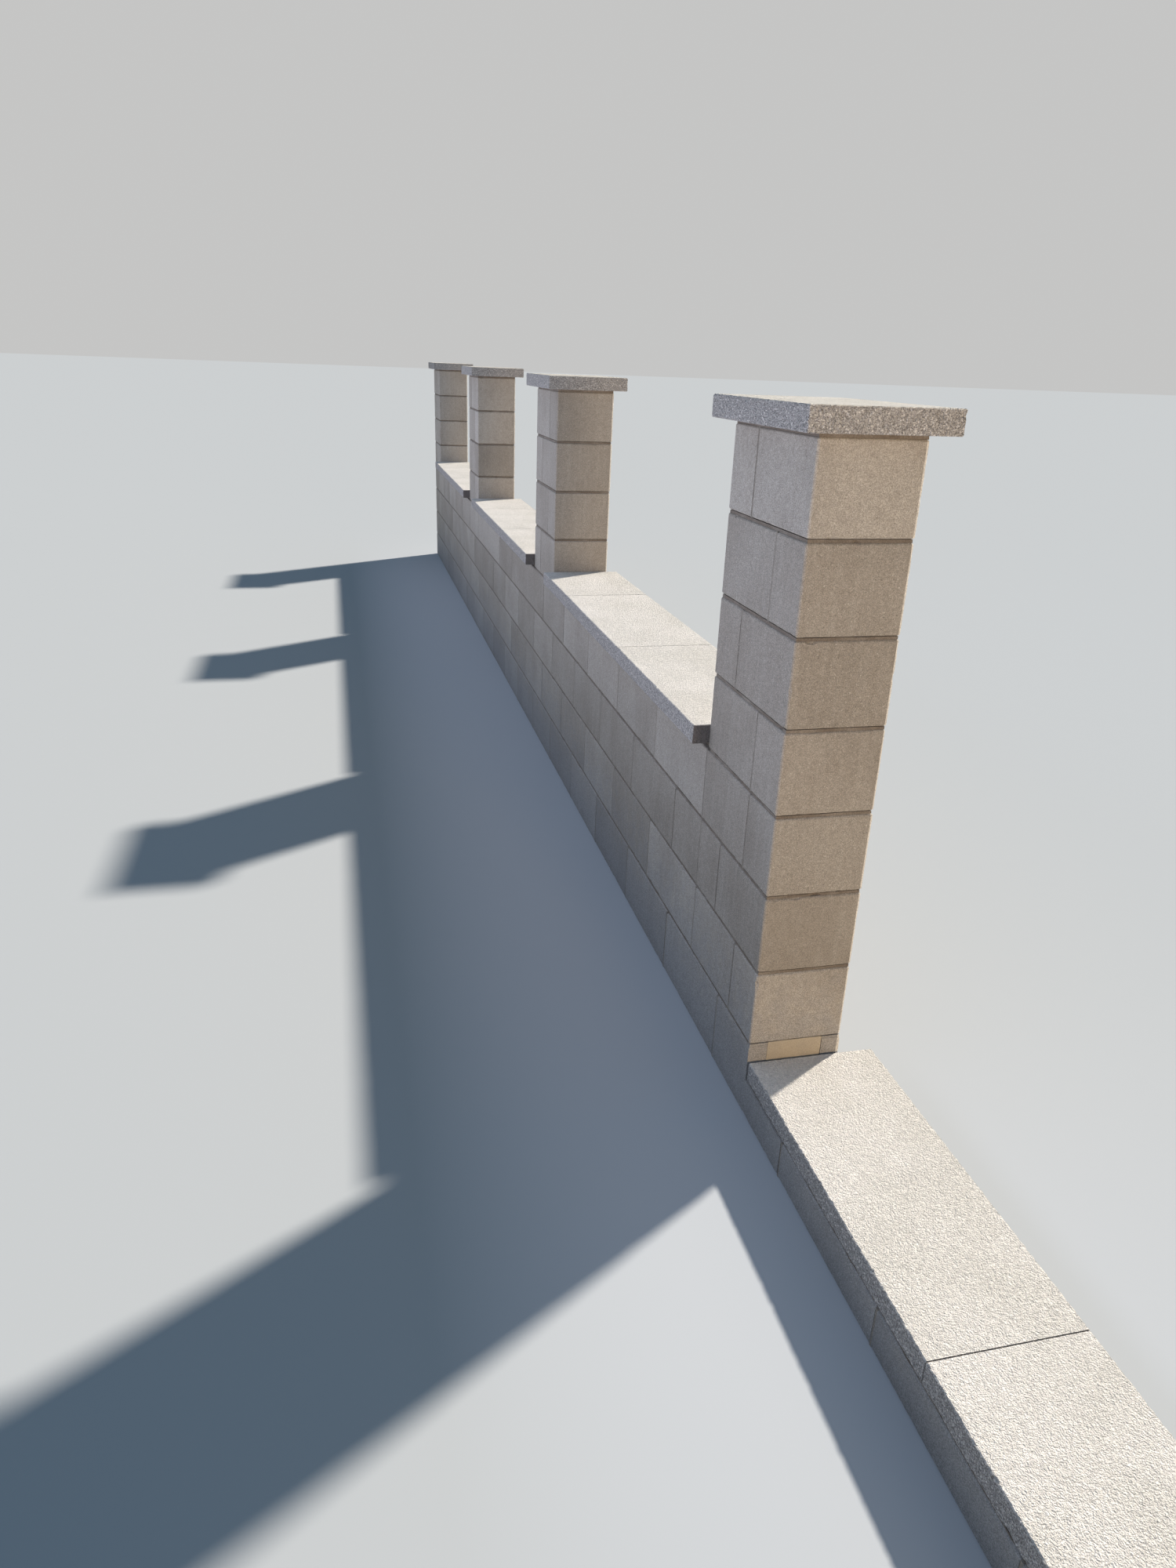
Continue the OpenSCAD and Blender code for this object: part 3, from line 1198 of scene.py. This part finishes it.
class GARDENWALL_OT_lay_sill(bpy.types.Operator):
    """Lays the slabs of the low sill"""

    bl_idname = "garden_wall.lay_sill"
    bl_label = "Lay Sill"

    def execute(self, context):
        for number, node in numbered("sill_slab"):
            lay_slab(node, SILL_SEED + number, tight_ends=meeting_ends(node, "sill_slab"))
        return {"FINISHED"}


class GARDENWALL_OT_lay_coping(bpy.types.Operator):
    """Beds and lays the coping slabs of each bay"""

    bl_idname = "garden_wall.lay_coping"
    bl_label = "Lay Coping"

    def execute(self, context):
        bay_ends = []
        for bay, node in numbered("coping_bed"):
            bay_ends.extend(corner.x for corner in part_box(node))
            lay_bed(node, COPING_BED_SEED + bay)
        for number, node in numbered("coping_slab"):
            slab_ends = [corner.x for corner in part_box(node)]
            sealed = [
                end for end in bay_ends if min(abs(end - other) for other in slab_ends) < HAIR
            ]
            lay_slab(node, COPING_SEED + number, sealed, meeting_ends(node, "coping_slab"))
        return {"FINISHED"}


class GARDENWALL_OT_cap_piers(bpy.types.Operator):
    """Beds and lays a flat cap on each pier"""

    bl_idname = "garden_wall.cap_piers"
    bl_label = "Cap Piers"

    def execute(self, context):
        for pier, node in numbered("cap_bed"):
            lay_bed(node, CAP_BED_SEED + pier)
            lay_slab(f"pier_cap_{pier}", CAP_SEED + pier)
        return {"FINISHED"}


def add_camera(stage):
    """The camera at the photograph's place and angle."""
    ahead = Vector((
        -math.cos(stage.heading) * math.cos(stage.pitch),
        math.sin(stage.heading) * math.cos(stage.pitch),
        -math.sin(stage.pitch),
    ))
    turn = ahead.to_track_quat("-Z", "Y").to_matrix() @ Matrix.Rotation(stage.roll, 3, "Z")
    camera = bpy.data.objects.new("camera", bpy.data.cameras.new("camera"))
    camera.data.lens = stage.lens
    camera.data.clip_start = 0.05
    camera.data.clip_end = 400.0
    camera.matrix_world = Matrix.Translation(Vector(stage.eye)) @ turn.to_4x4()
    bpy.context.scene.collection.objects.link(camera)
    bpy.context.scene.camera = camera


def add_lamp(name, kind, energy, colour, toward):
    """A lamp of one kind that shines away from a direction."""
    lamp = bpy.data.lights.new(name, kind)
    lamp.energy = energy
    lamp.color = colour
    holder = bpy.data.objects.new(name, lamp)
    holder.visible_camera = False
    holder.rotation_mode = "QUATERNION"
    holder.rotation_quaternion = toward.to_track_quat("Z", "Y")
    bpy.context.scene.collection.objects.link(holder)
    return holder


def add_key(stage):
    """A soft sun behind the wall's far end, on the garden side."""
    heading_from_x, height, spread = (math.radians(angle) for angle in (121.0, 40.0, 2.5))
    toward = Vector((
        math.cos(heading_from_x) * math.cos(height),
        math.sin(heading_from_x) * math.cos(height),
        math.sin(height),
    ))
    pale_yellow = (1.0, 0.945, 0.86)
    holder = add_lamp("key", "SUN", stage.key, pale_yellow, toward)
    holder.data.angle = spread


def add_warm_fill(stage):
    """A warm soft spot before the sill's end, which lights the first pier most."""
    distance, aside, pier_middle = 8.8, 1.25, 1.1
    cone, soft_rim, radius = math.radians(22.0), 0.5, 1.0
    place = Vector((CAD_BOX[1].x + distance, aside, pier_middle))
    aim = Vector((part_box("pier_1")[1].x, 0.0, pier_middle))
    amber = (1.0, 0.745, 0.46)
    holder = add_lamp("warm_fill", "SPOT", stage.warm_fill, amber, place - aim)
    holder.data.spot_size = cone
    holder.data.spot_blend = soft_rim
    holder.data.shadow_soft_size = radius
    holder.location = place


def add_cool_strip(stage):
    """A long cool lamp beside the seen side, tilted up so that it lights the top most."""
    low, high = CAD_BOX
    tilt = math.radians(9.0)
    toward = Vector((0.0, -math.cos(tilt), -math.sin(tilt)))
    pale_blue = (0.72, 0.77, 1.0)
    length_share, width = 0.94, 0.5
    distance, height = 0.95, 1.2
    holder = add_lamp("cool_strip", "AREA", stage.cool_strip, pale_blue, toward)
    holder.data.shape = "RECTANGLE"
    holder.data.size = (high.x - low.x) * length_share
    holder.data.size_y = width
    holder.location = (0.0, low.y - distance, height)


def add_floor(stage):
    """A plain pale floor."""
    half_width = 150.0
    sheet = bmesh.new()
    bmesh.ops.create_grid(sheet, x_segments=1, y_segments=1, size=half_width)
    mesh = bpy.data.meshes.new("studio_floor")
    sheet.to_mesh(mesh)
    sheet.free()
    material = bpy.data.materials.new("studio_floor")
    material.use_nodes = True
    shader = material.node_tree.nodes["Principled BSDF"]
    shader.inputs["Base Color"].default_value = stage.floor
    shader.inputs["Roughness"].default_value = 1.0
    shader.inputs["Specular IOR Level"].default_value = 0.0
    mesh.materials.append(material)
    floor = bpy.data.objects.new("studio_floor", mesh)
    bpy.context.scene.collection.objects.link(floor)


def set_world(stage):
    """Even light from all round, and a plain pale backdrop that only the camera sees."""
    world = bpy.data.worlds.new("studio")
    world.use_nodes = True
    tree = world.node_tree
    tree.nodes.clear()
    sky_blue = (0.47, 0.72, 1.0, 1.0)
    even = add_node(tree, "ShaderNodeBackground", {"Color": sky_blue, "Strength": stage.sky})
    seen = add_node(tree, "ShaderNodeBackground", {"Color": stage.backdrop, "Strength": 1.0})
    rays = add_node(tree, "ShaderNodeLightPath").outputs
    direct = math_node(tree, "MAXIMUM", rays["Is Camera Ray"], rays["Is Glossy Ray"])
    direct = math_node(tree, "MAXIMUM", direct, rays["Is Transmission Ray"])
    shares = {0: direct, 1: even.outputs[0], 2: seen.outputs[0]}
    shown = add_node(tree, "ShaderNodeMixShader", shares)
    add_node(tree, "ShaderNodeOutputWorld", {"Surface": shown.outputs[0]})
    bpy.context.scene.world = world


class GARDENWALL_OT_set_stage(bpy.types.Operator):
    """Sets the camera, the soft lamps, the floor and the backdrop"""

    bl_idname = "garden_wall.set_stage"
    bl_label = "Set Stage"

    def execute(self, context):
        stage = context.scene.wall_stage
        add_camera(stage)
        add_key(stage)
        add_warm_fill(stage)
        add_cool_strip(stage)
        add_floor(stage)
        set_world(stage)
        context.scene.view_settings.view_transform = "Standard"
        return {"FINISHED"}


class GARDENWALL_PT_panel(bpy.types.Panel):
    """The wall's sizes, colours and steps in the sidebar"""

    bl_idname = "GARDENWALL_PT_panel"
    bl_label = "Garden Wall"
    bl_space_type = "VIEW_3D"
    bl_region_type = "UI"
    bl_category = "Garden Wall"

    def draw(self, context):
        for operator in OPERATORS:
            self.layout.operator(operator.bl_idname)
        for name, group in SETTINGS.items():
            box = self.layout.box()
            box.label(text=group.__name__)
            for label in group.__annotations__:
                box.prop(getattr(context.scene, name), label)


OPERATORS = (
    GARDENWALL_OT_lay_courses,
    GARDENWALL_OT_raise_piers,
    GARDENWALL_OT_fill_joints,
    GARDENWALL_OT_pour_fill,
    GARDENWALL_OT_lay_sill,
    GARDENWALL_OT_lay_coping,
    GARDENWALL_OT_cap_piers,
    GARDENWALL_OT_set_stage,
)
SETTINGS = {
    "wall_blocks": BlockSizes,
    "wall_mortar": MortarSizes,
    "wall_slabs": SlabSizes,
    "wall_colours": WallColours,
    "wall_stage": StudioStage,
}


def register():
    """Registers the settings, the operators and the panel."""
    for name, group in SETTINGS.items():
        bpy.utils.register_class(group)
        setattr(bpy.types.Scene, name, PointerProperty(type=group))
    for part in (*OPERATORS, GARDENWALL_PT_panel):
        bpy.utils.register_class(part)


def unregister():
    """Takes everything that register added away again."""
    for part in reversed((*OPERATORS, GARDENWALL_PT_panel)):
        bpy.utils.unregister_class(part)
    for name, group in SETTINGS.items():
        delattr(bpy.types.Scene, name)
        bpy.utils.unregister_class(group)


def main():
    """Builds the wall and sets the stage."""
    register()
    bpy.ops.garden_wall.lay_courses()
    bpy.ops.garden_wall.raise_piers()
    bpy.ops.garden_wall.fill_joints()
    bpy.ops.garden_wall.pour_fill()
    bpy.ops.garden_wall.lay_sill()
    bpy.ops.garden_wall.lay_coping()
    bpy.ops.garden_wall.cap_piers()
    bpy.ops.garden_wall.set_stage()


if __name__ == "__main__":
    main()
